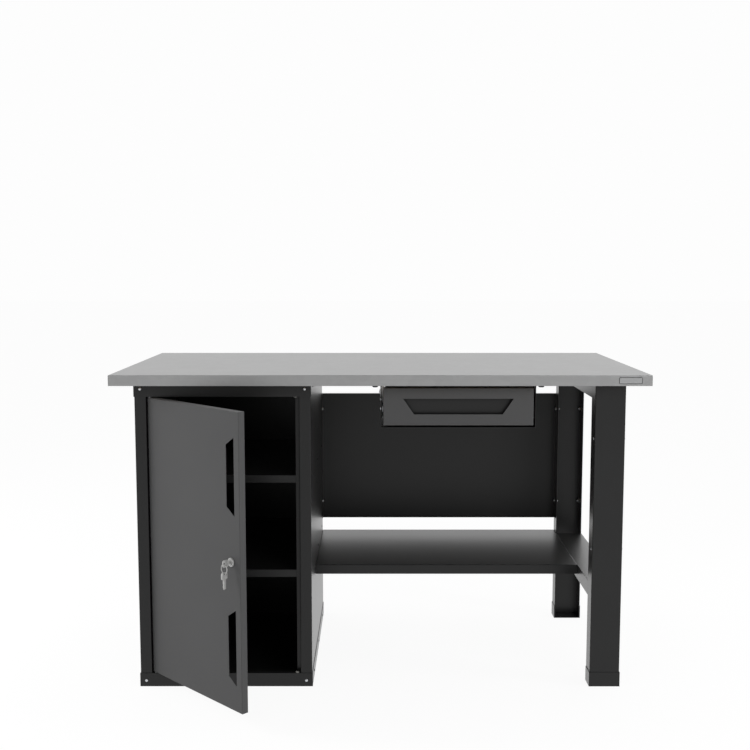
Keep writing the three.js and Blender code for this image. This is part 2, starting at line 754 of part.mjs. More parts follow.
// One telescopic slide. Depth is counted from the casing's wall towards the drawer, and each member
// rolls inside the next on two rows of balls held by a cage.
function addSlide(side, wall, towards) {
  const pitch = 2 * (ballRadius + fitClearance);
  const channel = (web, mouth, half) => {
    const corners = [[mouth, half], [web, half], [web, -half], [mouth, -half]];
    const path = corners.map(([depth, rise]) => [wall + towards * depth, slideLevel + rise]);
    return towards > 0 === mouth > web ? path : path.reverse();
  };
  const member = (web, mouth, half) => alongY(
    foldedSection(channel(web, mouth, half), slideSheet), boxFront, slideRear,
  );
  const outerHalf = slideHeight / 2;
  const middleHalf = outerHalf - slideSheet - pitch;
  const innerHalf = middleHalf - slideSheet - pitch;
  const outerCageWeb = slideSheet + slideWebGap;
  const middleWeb = outerCageWeb + cageSheet + slideWebGap;
  const innerCageWeb = middleWeb + slideSheet + slideWebGap;
  const innerMouth = innerCageWeb + cageSheet + slideWebGap;
  const outerMouth = slideThickness - 2 * slideSheet;
  const middleMouth = slideThickness - slideSheet - slideWebGap - ballRadius;
  const ballDepth = slideThickness / 2;

  const cage = (web, mouth, row) => {
    const half = row + cageSheet / 2;
    const start = (boxFront + slideRear - cageLength) / 2;
    const strip = alongY(foldedSection(channel(web, mouth, half), cageSheet), start, start + cageLength);
    const balls = [];
    for (let i = 0; i < ballsPerRow; i += 1) {
      for (const rise of [-row, row]) {
        const ball = new THREE.SphereGeometry(ballRadius, ballSides, ballRings);
        const along = start + (cageLength * (i + 0.5)) / ballsPerRow;
        balls.push(ball.translate(wall + towards * ballDepth, along, slideLevel + rise));
      }
    }
    return joined(strip, ...balls);
  };
  const outerRow = outerHalf - slideSheet - pitch / 2;
  const innerRow = middleHalf - slideSheet - pitch / 2;
  add(bench, `slide_outer_${side}`, member(0, outerMouth, outerHalf), zinc);
  add(bench, `slide_middle_${side}`, member(middleWeb, middleMouth, middleHalf), zinc);
  add(bench, `slide_inner_${side}`, member(slideThickness, innerMouth, innerHalf), zinc);
  add(bench, `ball_cage_outer_${side}`, cage(outerCageWeb, outerMouth, outerRow), zinc);
  add(bench, `ball_cage_inner_${side}`, cage(innerCageWeb, middleMouth, innerRow), zinc);
}

addWorktop();
addCabinetSides();
addCabinetEnds();
addCabinetShelf('upper', upperShelfTop);
addCabinetShelf('lower', lowerShelfTop);
addPivots();
addDoorPanel();
addLock();
addLockCore();
addKeys();
addLegFrame();
addSpanningSheets();
addDrawerCasing();
addDrawerBox();
addSlide('left', casingLeft + wrap, 1);
addSlide('right', casingRight - wrap, -1);

// The origin is on the floor, in the middle of the space that the bench takes with its door ajar.
bench.updateMatrixWorld(true);
const space = new THREE.Box3().setFromObject(bench, true);
bench.position.y = -(space.min.y + space.max.y) / 2;

export default bench;
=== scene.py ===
import json
import math

import bmesh
import bpy
from mathutils import Matrix, Vector


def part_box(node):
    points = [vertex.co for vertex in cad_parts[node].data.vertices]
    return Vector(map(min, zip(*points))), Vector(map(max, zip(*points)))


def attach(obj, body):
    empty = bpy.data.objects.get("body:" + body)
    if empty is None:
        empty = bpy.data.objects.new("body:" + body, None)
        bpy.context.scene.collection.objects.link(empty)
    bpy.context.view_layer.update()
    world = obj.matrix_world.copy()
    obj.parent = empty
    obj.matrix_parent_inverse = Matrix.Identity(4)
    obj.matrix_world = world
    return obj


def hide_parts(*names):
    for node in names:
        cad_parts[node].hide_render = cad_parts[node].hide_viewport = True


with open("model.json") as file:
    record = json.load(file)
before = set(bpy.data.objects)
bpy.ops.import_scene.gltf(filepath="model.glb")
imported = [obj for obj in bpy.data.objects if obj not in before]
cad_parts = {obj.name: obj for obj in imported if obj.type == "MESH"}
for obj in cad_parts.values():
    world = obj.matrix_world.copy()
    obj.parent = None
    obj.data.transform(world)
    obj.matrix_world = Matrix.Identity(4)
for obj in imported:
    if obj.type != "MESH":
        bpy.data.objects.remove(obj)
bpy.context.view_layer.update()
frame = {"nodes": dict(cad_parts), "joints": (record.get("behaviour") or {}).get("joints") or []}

nodes = frame["nodes"]
joints = {joint["name"]: joint for joint in frame["joints"]}

# Worktop skin: galvanised sheet steel folded down over the four edges of the board.
# Zinc from the bath leaves faint crystals, and the rolling mill leaves streaks along the sheet.
mm = 0.001


def put(tree, socket, value):
    """A value, or a link from another socket, goes into a socket."""
    if isinstance(value, bpy.types.NodeSocket):
        tree.links.new(value, socket)
    else:
        socket.default_value = value


def add_node(tree, kind, inputs=(), **settings):
    """A node with its settings made, and each named input given a value or a link."""
    node = tree.nodes.new(kind)
    for name, value in settings.items():
        setattr(node, name, value)
    for name, value in dict(inputs).items():
        put(tree, node.inputs[name], value)
    return node


def shader_group(name, inputs, outputs):
    """An empty shader group with named sockets: the tree, its inputs and its outputs."""
    tree = bpy.data.node_groups.new(name, "ShaderNodeTree")
    for label, kind, value in inputs:
        socket = tree.interface.new_socket(label, in_out="INPUT", socket_type="NodeSocket" + kind)
        if value is not None:
            socket.default_value = value
    for label, kind in outputs:
        tree.interface.new_socket(label, in_out="OUTPUT", socket_type="NodeSocket" + kind)
    return tree, tree.nodes.new("NodeGroupInput").outputs, tree.nodes.new("NodeGroupOutput").inputs


def noise(tree, place, scale, detail, **more):
    """Noise over a place: its Fac, from 0 to 1, and its Color."""
    inputs = {"Vector": place, "Scale": scale, "Detail": detail, **more}
    return add_node(tree, "ShaderNodeTexNoise", inputs).outputs


def multiply(tree, one, other):
    """The product of two values."""
    return add_node(tree, "ShaderNodeMath", {0: one, 1: other}, operation="MULTIPLY").outputs["Value"]


def spread(tree, value, start, end, low=0.0, high=1.0, **settings):
    """A value between start and end, moved to the range from low to high."""
    inputs = {"Value": value, "From Min": start, "From Max": end, "To Min": low, "To Max": high}
    return add_node(tree, "ShaderNodeMapRange", inputs, **settings).outputs["Result"]


# Edges: paint and zinc are thinnest where a sheet is folded or cut, and are rubbed there first.
edge_wear, edge_in, edge_out = shader_group(
    "edge_wear",
    [("Width", "Float", 0.8 * mm), ("Patch Size", "Float", 40.0), ("Vector", "Vector", None)],
    [("Mask", "Float"), ("Normal", "Vector")],
)
rounded = add_node(edge_wear, "ShaderNodeBevel", {"Radius": edge_in["Width"]}, samples=4)
flat = add_node(edge_wear, "ShaderNodeNewGeometry")
likeness = add_node(
    edge_wear, "ShaderNodeVectorMath",
    {0: rounded.outputs["Normal"], 1: flat.outputs["Normal"]}, operation="DOT_PRODUCT",
)
near_edge = spread(edge_wear, likeness.outputs["Value"], start=0.98, end=0.8)
patches = noise(edge_wear, edge_in["Vector"], scale=edge_in["Patch Size"], detail=4.0, Roughness=0.65)
rubbed = spread(edge_wear, patches["Fac"], start=0.45, end=0.7)
edge_wear.links.new(multiply(edge_wear, near_edge, rubbed), edge_out["Mask"])
edge_wear.links.new(rounded.outputs["Normal"], edge_out["Normal"])


def drawn_out(tree, place, scale):
    """A place scaled along each axis, so that a pattern runs long on one of them."""
    return add_node(tree, "ShaderNodeMapping", {"Vector": place, "Scale": scale}).outputs["Vector"]


def blend(tree, one, other, share):
    """A value between two others, nearer to the second as the share grows."""
    return add_node(tree, "ShaderNodeMix", {"Factor": share, "A": one, "B": other}).outputs["Result"]


rolled_zinc, zinc_in, zinc_out = shader_group(
    "rolled_zinc",
    [("Vector", "Vector", None), ("Crystal Scale", "Float", 55.0), ("Streak", "Float", 0.35)],
    [("Tone", "Float"), ("Gloss", "Float"), ("Height", "Float")],
)
bent = noise(rolled_zinc, zinc_in["Vector"], scale=18.0, detail=3.0)
warped = add_node(
    rolled_zinc, "ShaderNodeVectorMath",
    {0: bent["Color"], 1: (0.02, 0.02, 0.02), 2: zinc_in["Vector"]}, operation="MULTIPLY_ADD",
)
crystals = add_node(
    rolled_zinc, "ShaderNodeTexVoronoi",
    {"Vector": warped.outputs["Vector"], "Scale": zinc_in["Crystal Scale"]},
)
crystal = add_node(rolled_zinc, "ShaderNodeSeparateColor", {"Color": crystals.outputs["Color"]})
mill_way = drawn_out(rolled_zinc, zinc_in["Vector"], scale=(2.0, 260.0, 260.0))
streaks = noise(rolled_zinc, mill_way, scale=1.0, detail=3.0)
clouds = noise(rolled_zinc, zinc_in["Vector"], scale=7.0, detail=4.0)
cloudy = blend(rolled_zinc, crystal.outputs["Red"], clouds["Fac"], share=0.6)
streaked = blend(rolled_zinc, cloudy, streaks["Fac"], share=zinc_in["Streak"])
rolled_zinc.links.new(streaked, zinc_out["Tone"])
rolled_zinc.links.new(cloudy, zinc_out["Gloss"])
rolled_zinc.links.new(streaks["Fac"], zinc_out["Height"])


def new_finish(name):
    """A material with its Principled shader, and the object's own coordinates."""
    finish = bpy.data.materials.new(name)
    finish.use_nodes = True
    tree = finish.node_tree
    place = tree.nodes.new("ShaderNodeTexCoord").outputs["Object"]
    return finish, tree, tree.nodes["Principled BSDF"], place


def place_group(tree, group, **values):
    """A shared group in a material, with its own values."""
    node = tree.nodes.new("ShaderNodeGroup")
    node.node_tree = group
    for label, value in values.items():
        put(tree, node.inputs[label.replace("_", " ")], value)
    return node.outputs


def shade(tree, share, dark, light):
    """A colour between two others, each a value or a link."""
    mix = add_node(tree, "ShaderNodeMix", {"Factor": share}, data_type="RGBA")
    for index, colour in ((6, dark), (7, light)):
        put(tree, mix.inputs[index], colour if isinstance(colour, bpy.types.NodeSocket) else (*colour, 1))
    return mix.outputs[2]


def paint(tree, shader, tone, dark, light, polish, gloss):
    """Colour between two tones by one share, and roughness between two values by another."""
    tree.links.new(shade(tree, tone, dark, light), shader.inputs["Base Color"])
    roughness = spread(tree, polish, start=0.0, end=1.0, low=gloss[0], high=gloss[1])
    tree.links.new(roughness, shader.inputs["Roughness"])


def emboss(tree, shader, height, strength, depth, **over):
    """A height that light feels as a bump, over another normal where one is given."""
    inputs = {"Height": height, "Strength": strength, "Distance": depth, **over}
    bump = add_node(tree, "ShaderNodeBump", inputs)
    tree.links.new(bump.outputs["Normal"], shader.inputs["Normal"])


def zinc_sheet(name, dark, light, gloss, streak):
    """Galvanised sheet in one tone, with the mill's streaks as strong as asked."""
    finish, tree, shader, place = new_finish(name)
    zinc_coat = place_group(tree, rolled_zinc, Vector=place, Streak=streak)
    edge = place_group(tree, edge_wear, Vector=place, Width=1.2 * mm)
    paint(tree, shader, zinc_coat["Tone"], dark, light, zinc_coat["Gloss"], gloss)
    emboss(tree, shader, zinc_coat["Height"], strength=0.12, depth=0.05 * mm, Normal=edge["Normal"])
    shader.inputs["Metallic"].default_value = 0.92
    return finish


galvanised = zinc_sheet(
    "galvanised_steel", (0.326, 0.3265, 0.327), (0.401, 0.4015, 0.402), gloss=(0.36, 0.5), streak=0.35,
)


def give(finish, *names):
    """The finish goes into the material slots of these solids."""
    for name in names:
        nodes[name].data.materials.clear()
        nodes[name].data.materials.append(finish)


give(galvanised, "worktop_skin")
skin_low, skin_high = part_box("worktop_skin")

# Worktop board: a glued panel under the skin, whose bare underside shows between the supports.
# The face veneer runs along the bench, with long growth lines and a few darker flecks.
plywood, tree, shader, place = new_finish("plywood")
grain_way = drawn_out(tree, place, scale=(1.2, 22.0, 60.0))
grain = noise(tree, grain_way, scale=4.0, detail=8.0, Roughness=0.62, Distortion=0.6)
pore_way = drawn_out(tree, place, scale=(20.0, 700.0, 700.0))
flecks = noise(tree, pore_way, scale=1.0, detail=2.0)
veneer = blend(tree, grain["Fac"], flecks["Fac"], share=0.35)
paint(tree, shader, veneer, (0.3, 0.19, 0.09), (0.62, 0.45, 0.26), flecks["Fac"], gloss=(0.55, 0.8))
emboss(tree, shader, flecks["Fac"], strength=0.3, depth=0.1 * mm)
give(plywood, "worktop_board")

# Edge plate: a small blank tab of brushed zinc near the right end of the worktop's front edge.
# It is pressed with a raised field inside a border ring that is coloured near black, and glued on.
plate_width = 61 * mm
plate_height = 18 * mm
plate_corner = 4 * mm
plate_end_gap = 25.5 * mm
plate_thickness = 0.7 * mm
plate_bevel = 0.2 * mm
border_width = 1.7 * mm
field_rise = 0.4 * mm


def new_piece(name, form, *finishes):
    """An object at the origin from a mesh under construction."""
    mesh = bpy.data.meshes.new(name)
    form.to_mesh(mesh)
    form.free()
    for finish in finishes:
        mesh.materials.append(finish)
    piece = bpy.data.objects.new(name, mesh)
    bpy.context.scene.collection.objects.link(piece)
    return piece


def rounded_outline(width, height, corner, steps=6):
    """Points round a rectangle with rounded corners, centred on zero."""
    points = []
    for quarter, (side, rise) in enumerate(((1, 1), (-1, 1), (-1, -1), (1, -1))):
        for step in range(steps + 1):
            angle = math.pi / 2 * (quarter + step / steps)
            points.append((
                side * (width / 2 - corner) + corner * math.cos(angle),
                rise * (height / 2 - corner) + corner * math.sin(angle),
            ))
    return points


def skin(form, rings):
    """Bands of faces from each ring of points to the next, with both ends closed."""
    bands = []
    for near, far in zip(rings, rings[1:]):
        bands.append([form.faces.new((near[k - 1], near[k], far[k], far[k - 1])) for k in range(len(near))])
    form.faces.new(rings[0])
    form.faces.new(rings[-1])
    bmesh.ops.recalc_face_normals(form, faces=form.faces)
    return bands


plate_x = skin_high.x - plate_end_gap - plate_width / 2
plate_z = (skin_low.z + skin_high.z) / 2
plate_levels = (
    (0, 0), (0, plate_thickness - plate_bevel), (plate_bevel, plate_thickness),
    (border_width, plate_thickness), (border_width + plate_bevel, plate_thickness + field_rise),
)
plate_form = bmesh.new()
plate_rings = []
for inset, rise in plate_levels:
    outline = rounded_outline(plate_width - 2 * inset, plate_height - 2 * inset, plate_corner - inset)
    level = skin_low.y - rise
    plate_rings.append([plate_form.verts.new((plate_x + x, level, plate_z + z)) for x, z in outline])
border = skin(plate_form, plate_rings)[2]
for face in border:
    face.material_index = 1

brushed_zinc = zinc_sheet(
    "brushed_zinc", (0.36, 0.363, 0.366), (0.45, 0.453, 0.456), gloss=(0.34, 0.46), streak=0.85,
)
# The border ring between the plate's rim and its raised field is coloured near black.
border_tone, tree, shader, place = new_finish("dark_border_tone")
pits = noise(tree, place, scale=900.0, detail=2.0)["Fac"]
paint(tree, shader, pits, (0.035, 0.035, 0.036), (0.06, 0.06, 0.061), pits, gloss=(0.35, 0.5))
edge_plate = new_piece("edge_plate", plate_form, brushed_zinc, border_tone)
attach(edge_plate, "frame")

# Cabinet carcass: folded sides, back, cap, base tray, shelves and brackets of thin sheet.
# All of it has a black powder coat, baked on, with a fine orange-peel skin and a satin gloss.
powder_coat, coat_in, coat_out = shader_group(
    "powder_coat",
    [("Vector", "Vector", None), ("Peel Scale", "Float", 900.0)],
    [("Tone", "Float"), ("Gloss", "Float"), ("Height", "Float")],
)
peel = noise(powder_coat, coat_in["Vector"], scale=coat_in["Peel Scale"], detail=2.0)
specks = noise(powder_coat, coat_in["Vector"], scale=1800.0, detail=1.0)
drifts = noise(powder_coat, coat_in["Vector"], scale=6.0, detail=1.0, Roughness=0.4)
powder_coat.links.new(blend(powder_coat, drifts["Fac"], specks["Fac"], share=0.4), coat_out["Tone"])
powder_coat.links.new(drifts["Fac"], coat_out["Gloss"])
powder_coat.links.new(peel["Fac"], coat_out["Height"])


def coated(name, dark, light, bare, gloss, shine, film, bend):
    """A powder coat in one colour, rubbed a little at the folds, with a film that shines at a low angle."""
    finish, tree, shader, place = new_finish(name)
    coat = place_group(tree, powder_coat, Vector=place)
    edge = place_group(tree, edge_wear, Vector=place, Width=bend)
    whole = shade(tree, coat["Tone"], dark, light)
    paint(tree, shader, edge["Mask"], whole, bare, coat["Gloss"], gloss)
    emboss(tree, shader, coat["Height"], strength=0.1, depth=0.004 * mm, Normal=edge["Normal"])
    shader.inputs["Specular IOR Level"].default_value = shine
    shader.inputs["Coat Roughness"].default_value = gloss[1]
    glance = add_node(tree, "ShaderNodeLayerWeight", {"Blend": 0.5})
    low_angle = spread(tree, glance.outputs["Facing"], start=0.3, end=0.8, high=film)
    tree.links.new(low_angle, shader.inputs["Coat Weight"])
    return finish


black_coat = coated(
    "black_powder_coat", (0.0082, 0.0082, 0.0083), (0.0138, 0.0138, 0.0139), (0.04, 0.04, 0.04),
    gloss=(0.32, 0.35), shine=0.34, film=0.46, bend=0.4 * mm,
)
give(
    black_coat, "cabinet_left_side", "cabinet_right_side", "cabinet_back", "cabinet_top_cap",
    "cabinet_base_tray", "cabinet_shelf_upper", "cabinet_shelf_lower", "shelf_bracket_upper_left",
    "shelf_bracket_upper_right", "shelf_bracket_lower_left", "shelf_bracket_lower_right",
)

# Cabinet screws and rivets: plated pan heads hold the cap and tray at their corners, and rivets hold
# the back and the brackets. The rivets were set before the coat was baked, so they are black.
plated, plated_in, plated_out = shader_group(
    "plated_metal",
    [("Vector", "Vector", None), ("Brush Scale", "Float", 900.0)],
    [("Tone", "Float"), ("Gloss", "Float"), ("Height", "Float")],
)
brushed = noise(plated, plated_in["Vector"], scale=plated_in["Brush Scale"], detail=3.0, Roughness=0.7)
stains = noise(plated, plated_in["Vector"], scale=120.0, detail=4.0)
plated.links.new(stains["Fac"], plated_out["Tone"])
plated.links.new(brushed["Fac"], plated_out["Gloss"])
plated.links.new(brushed["Fac"], plated_out["Height"])


def plated_finish(name, dark, light, gloss, metal=1.0):
    """A plated metal in one colour."""
    finish, tree, shader, place = new_finish(name)
    plate = place_group(tree, plated, Vector=place)
    paint(tree, shader, plate["Tone"], dark, light, plate["Gloss"], gloss)
    emboss(tree, shader, plate["Height"], strength=0.1, depth=0.02 * mm)
    shader.inputs["Metallic"].default_value = metal
    return finish


zinc_plate = plated_finish("zinc_plate", (0.5, 0.515, 0.54), (0.72, 0.73, 0.75), gloss=(0.22, 0.4))


def lathe(profile, sides):
    """A turned form: points of (radius, height) carried round the upright axis."""
    form = bmesh.new()
    angles = [2 * math.pi * k / sides for k in range(sides)]
    rings = []
    for radius, height in profile:
        if radius == 0:
            rings.append([form.verts.new((0, 0, height))] * sides)
        else:
            around = [(radius * math.cos(angle), radius * math.sin(angle)) for angle in angles]
            rings.append([form.verts.new((x, y, height)) for x, y in around])
    for low, high in zip(rings, rings[1:]):
        for k in range(sides):
            after = (k + 1) % sides
            form.faces.new(dict.fromkeys((low[k], low[after], high[after], high[k])))
    bmesh.ops.remove_doubles(form, verts=form.verts, dist=1e-9)
    bmesh.ops.recalc_face_normals(form, faces=form.faces)
    return form


def slab(form, low, high):
    """A block between two corners, added to a form."""
    size = [b - a for a, b in zip(low, high)]
    middle = [(a + b) / 2 for a, b in zip(low, high)]
    bmesh.ops.create_cube(form, size=1, matrix=Matrix.LocRotScale(Vector(middle), None, Vector(size)))


def add_form(form, other):
    """The faces of another form are added to a form."""
    mesh = bpy.data.meshes.new("added")
    other.to_mesh(mesh)
    other.free()
    form.from_mesh(mesh)


def settle(piece):
    """The piece's modifiers become part of its plain mesh."""
    result = piece.evaluated_get(bpy.context.evaluated_depsgraph_get())
    mesh = bpy.data.meshes.new_from_object(result)
    piece.modifiers.clear()
    piece.data = mesh


def carve(piece, form, operation="DIFFERENCE"):
    """A form is cut out of a piece, or the part that they share is kept."""
    tool = new_piece("cutter", form)
    cut = piece.modifiers.new("cut", "BOOLEAN")
    cut.operation = operation
    cut.solver = "EXACT"
    cut.object = tool
    settle(piece)
    bpy.data.objects.remove(tool)


def smooth(piece, angle=35):
    """Smooth shading, broken at edges sharper than the angle."""
    piece.data.shade_smooth()
    piece.data.set_sharp_from_angle(angle=math.radians(angle))


# Heads are one unit across, and stand on zero with a little sunk into what they hold.
pan_profile = [(0, -0.02), (0.5, -0.02), (0.5, 0.1), (0.45, 0.2), (0.32, 0.28), (0, 0.32)]
pan_head = new_piece("pan_head", lathe(pan_profile, sides=24))
recess = bmesh.new()
slab(recess, (-0.3, -0.065, 0.12), (0.3, 0.065, 0.4))
slab(recess, (-0.065, -0.3, 0.11), (0.065, 0.3, 0.41))
carve(pan_head, recess)
smooth(pan_head)
rivet_profile = [
    (0, -0.02), (0.5, -0.02), (0.5, 0.05), (0.42, 0.16), (0.26, 0.22), (0.2, 0.22), (0.18, 0.14), (0, 0.14),
]
rivet_head = new_piece("rivet_head", lathe(rivet_profile, sides=20))
smooth(rivet_head)


def geometry_group(name, inputs, output):
    """An empty geometry group with named sockets: the tree, its inputs, their keys and its output."""
    tree = bpy.data.node_groups.new(name, "GeometryNodeTree")
    keys = {}
    for label, kind in inputs.items():
        socket = tree.interface.new_socket(label, in_out="INPUT", socket_type="NodeSocket" + kind)
        keys[label] = socket.identifier
    tree.interface.new_socket(output, in_out="OUTPUT", socket_type="NodeSocketGeometry")
    result = tree.nodes.new("NodeGroupOutput").inputs[output]
    return tree, tree.nodes.new("NodeGroupInput").outputs, keys, result


def outward_turn(tree):
    """The turn that points an upright head the way that its spot faces."""
    facing = add_node(tree, "GeometryNodeInputNamedAttribute", {"Name": "facing"}, data_type="FLOAT_VECTOR")
    inputs = {"Vector": facing.outputs["Attribute"]}
    return add_node(tree, "FunctionNodeAlignRotationToVector", inputs, axis="Z").outputs["Rotation"]


def set_heads(tree, points, head, turn, scale, finish, result):
    """A copy of an object at each point, made solid in one finish, is the group's result."""
    source = add_node(tree, "GeometryNodeObjectInfo", {"Object": head})
    inputs = {"Points": points, "Instance": source.outputs["Geometry"], "Rotation": turn, "Scale": scale}
    placed = add_node(tree, "GeometryNodeInstanceOnPoints", inputs)
    solid = add_node(tree, "GeometryNodeRealizeInstances", {"Geometry": placed.outputs["Instances"]})
    inputs = {"Geometry": solid.outputs["Geometry"], "Material": finish}
    finished = add_node(tree, "GeometryNodeSetMaterial", inputs)
    tree.links.new(finished.outputs["Geometry"], result)


set_fasteners, spots_in, fastener_keys, fasteners_out = geometry_group(
    "set_fasteners",
    {"Spots": "Geometry", "Head": "Object", "Size": "Float", "Finish": "Material", "Seed": "Int"},
    "Fasteners",
)
chance = add_node(
    set_fasteners, "FunctionNodeRandomValue",
    {"Seed": spots_in["Seed"], 0: (0, 0, 0), 1: (0, 0, 2 * math.pi)}, data_type="FLOAT_VECTOR",
)
spin = add_node(set_fasteners, "FunctionNodeEulerToRotation", {"Euler": chance.outputs[0]})
driven = add_node(
    set_fasteners, "FunctionNodeRotateRotation",
    {"Rotation": outward_turn(set_fasteners), "Rotate By": spin.outputs["Rotation"]},
    rotation_space="LOCAL",
)
set_heads(
    set_fasteners, spots_in["Spots"], spots_in["Head"], driven.outputs["Rotation"],
    spots_in["Size"], spots_in["Finish"], fasteners_out,
)


def spots_mesh(name, spots, edges=()):
    """Points in the frame, each with the way that its face looks."""
    mesh = bpy.data.meshes.new(name)
    mesh.from_pydata([spot for spot, way in spots], edges, [])
    ways = mesh.attributes.new("facing", "FLOAT_VECTOR", "POINT")
    ways.data.foreach_set("vector", [share for spot, way in spots for share in way])
    piece = bpy.data.objects.new(name, mesh)
    bpy.context.scene.collection.objects.link(piece)
    return piece


def grow(piece, group, keys, values):
    """A geometry group runs on a piece with these values, and its result becomes the piece's mesh."""
    tool = piece.modifiers.new(group.name, "NODES")
    tool.node_group = group
    for label, value in values.items():
        tool[keys[label]] = value
    settle(piece)


def fasten(name, head, spots, finish, size, body="frame", seed=1):
    """One piece of like fasteners, a head at each spot."""
    piece = spots_mesh(name, spots)
    grow(piece, set_fasteners, fastener_keys, {"Head": head, "Size": size, "Finish": finish, "Seed": seed})
    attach(piece, body)


left, right, front, back, up, down = (-1, 0, 0), (1, 0, 0), (0, -1, 0), (0, 1, 0), (0, 0, 1), (0, 0, -1)
cap_low, cap_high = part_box("cabinet_top_cap")
tray_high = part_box("cabinet_base_tray")[1]
side_low, side_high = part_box("cabinet_left_side")[0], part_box("cabinet_right_side")[1]
sheet = 1.2 * mm
corner_inset = 17 * mm
roof_right_inset = 37 * mm
roof_depth = 60 * mm
cap_level = cap_high.z - 11.7 * mm
tray_level = 17.2 * mm
corner_screws = []
for x, roof_x in (
    (cap_low.x + corner_inset, cap_low.x + corner_inset),
    (cap_high.x - corner_inset, cap_high.x - roof_right_inset),
):
    for level in (cap_level, tray_level):
        corner_screws += [((x, cap_low.y, level), front), ((x, cap_high.y, level), back)]
    for y in (cap_low.y + roof_depth, cap_high.y - roof_depth):
        corner_screws.append(((roof_x, y, cap_high.z - sheet), down))
fasten("cabinet_screws", pan_head, corner_screws, zinc_plate, size=8 * mm)

rivet_inset = 10 * mm
back_rows = 7
bracket_shares = (0.1, 0.5, 0.9)
rim_shares = (0.12, 0.5, 0.88)
black_rivets = []
for x in (side_low.x + rivet_inset, side_high.x - rivet_inset):
    for row in range(1, back_rows):
        share = row / back_rows
        black_rivets.append(((x, side_high.y, cap_low.z * share + tray_high.z * (1 - share)), back))
for side, x, way in (("left", side_low.x, left), ("right", side_high.x, right)):
    for shelf in ("upper", "lower"):
        low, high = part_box(f"shelf_bracket_{shelf}_{side}")
        for share in bracket_shares:
            black_rivets.append(((x, low.y + share * (high.y - low.y), (low.z + high.z) / 2), way))
for x, way in ((cap_low.x, left), (cap_high.x, right)):
    for level in (cap_level, tray_level):
        for share in rim_shares:
            black_rivets.append(((x, cap_low.y + share * (cap_high.y - cap_low.y), level), way))
fasten("cabinet_rivets", rivet_head, black_rivets, black_coat, size=7 * mm)

# Door pivots: steel pins turned on a lathe, phosphated dark grey, riveted into the cap and tray.
# The door's holes turn on them, so they carry a film of grease and no bright plating.


def soften(piece, width):
    """The sharp edges of a piece are rounded, and its shading is smoothed."""
    bevel = piece.modifiers.new("rounded", "BEVEL")
    bevel.width = width
    bevel.segments = 2
    bevel.limit_method = "ANGLE"
    bevel.angle_limit = math.radians(35)
    settle(piece)
    smooth(piece)


def finer(node, body, finish, width):
    """A copy of a solid with its sharp edges broken, which stands for it."""
    form = bmesh.new()
    form.from_mesh(nodes[node].data)
    bmesh.ops.remove_doubles(form, verts=form.verts, dist=0.001 * mm)
    bmesh.ops.dissolve_limit(form, angle_limit=math.radians(1), verts=form.verts, edges=form.edges)
    piece = new_piece(f"{node}_finished", form, finish)
    soften(piece, width)
    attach(piece, body)
    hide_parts(node)


greased_pin = plated_finish("greased_pin", (0.13, 0.132, 0.135), (0.2, 0.202, 0.205), gloss=(0.34, 0.48))
for end in ("top", "bottom"):
    finer(f"hinge_pin_{end}", "frame", greased_pin, width=0.2 * mm)

# Spare bushes: moulded nylon, pushed into the two holes that wait for a door hung on the other side.
# The plastic is off-white, with a slightly uneven face from the mould.
nylon, tree, shader, place = new_finish("nylon")
mould = noise(tree, place, scale=400.0, detail=3.0)["Fac"]
paint(tree, shader, mould, (0.4, 0.39, 0.36), (0.52, 0.51, 0.48), mould, gloss=(0.42, 0.55))
emboss(tree, shader, mould, strength=0.15, depth=0.05 * mm)
for end in ("top", "bottom"):
    finer(f"spare_bush_{end}", "frame", nylon, width=0.2 * mm)

# Door: one pressed sheet with two slotted finger grips, coated in mid grey.
# It is baked in the same way as the carcass, and its coat is a little flatter.
grey_coat = coated(
    "grey_powder_coat", (0.069, 0.069, 0.07), (0.088, 0.088, 0.089), (0.15, 0.15, 0.15),
    gloss=(0.5, 0.55), shine=0.24, film=0.04, bend=0.8 * mm,
)
give(grey_coat, "door_panel")

# Cam lock: a die-cast barrel with a round head, bright nickel, clamped through the door by a nut.
# The barrel is threaded, with two flats that keep it from turning in its hole.
nickel_plate = plated_finish(
    "nickel_plate", (0.44, 0.44, 0.435), (0.56, 0.56, 0.55), gloss=(0.4, 0.52), metal=0.6,
)
lock_spot = Vector(joints["lock_turn"]["pos_m"])
lock_way = Vector(joints["lock_turn"]["axis"])
lock_side = lock_way.cross(Vector(up))
lock_turn = Matrix((lock_side, lock_way, Vector(up))).transposed().to_4x4()
bore = 6.5 * mm
head_radius = 11 * mm
head_front = -4.3 * mm
head_back = -0.3 * mm
rim_drop = 0.9 * mm
barrel_radius = 9 * mm
barrel_end = 20.7 * mm
barrel_flat = 8 * mm
thread_pitch = 1.5 * mm
thread_depth = 0.5 * mm
lock_profile = [
    (bore, head_front + rim_drop), (7.2 * mm, head_front + 0.25 * mm), (7.7 * mm, head_front),
    (9.4 * mm, head_front), (10.3 * mm, head_front + 0.25 * mm), (10.85 * mm, head_front + rim_drop),
    (head_radius, head_front + 1.6 * mm), (head_radius, head_back), (barrel_radius, head_back),
]
turns = int((barrel_end - 2 * thread_pitch - head_back) / thread_pitch)
for turn in range(turns):
    crest = head_back + thread_pitch * (turn + 1)
    lock_profile += [(barrel_radius, crest), (barrel_radius - thread_depth, crest + thread_pitch / 2)]
lock_profile += [
    (barrel_radius, barrel_end - 1.0 * mm), (barrel_radius - 0.8 * mm, barrel_end), (bore, barrel_end),
    (bore, head_front + rim_drop),
]
lock_form = lathe(lock_profile, sides=64)
for vert in lock_form.verts:
    if vert.co.z > head_back + 0.1 * mm:
        vert.co.x = max(-barrel_flat, min(barrel_flat, vert.co.x))
lock_form.transform(Matrix.Translation(lock_spot) @ lock_turn @ Matrix.Rotation(math.radians(-90), 4, "X"))
bmesh.ops.recalc_face_normals(lock_form, faces=lock_form.faces)
lock_body = new_piece("lock_body_finished", lock_form, nickel_plate)
smooth(lock_body)
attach(lock_body, "door")
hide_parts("lock_body")
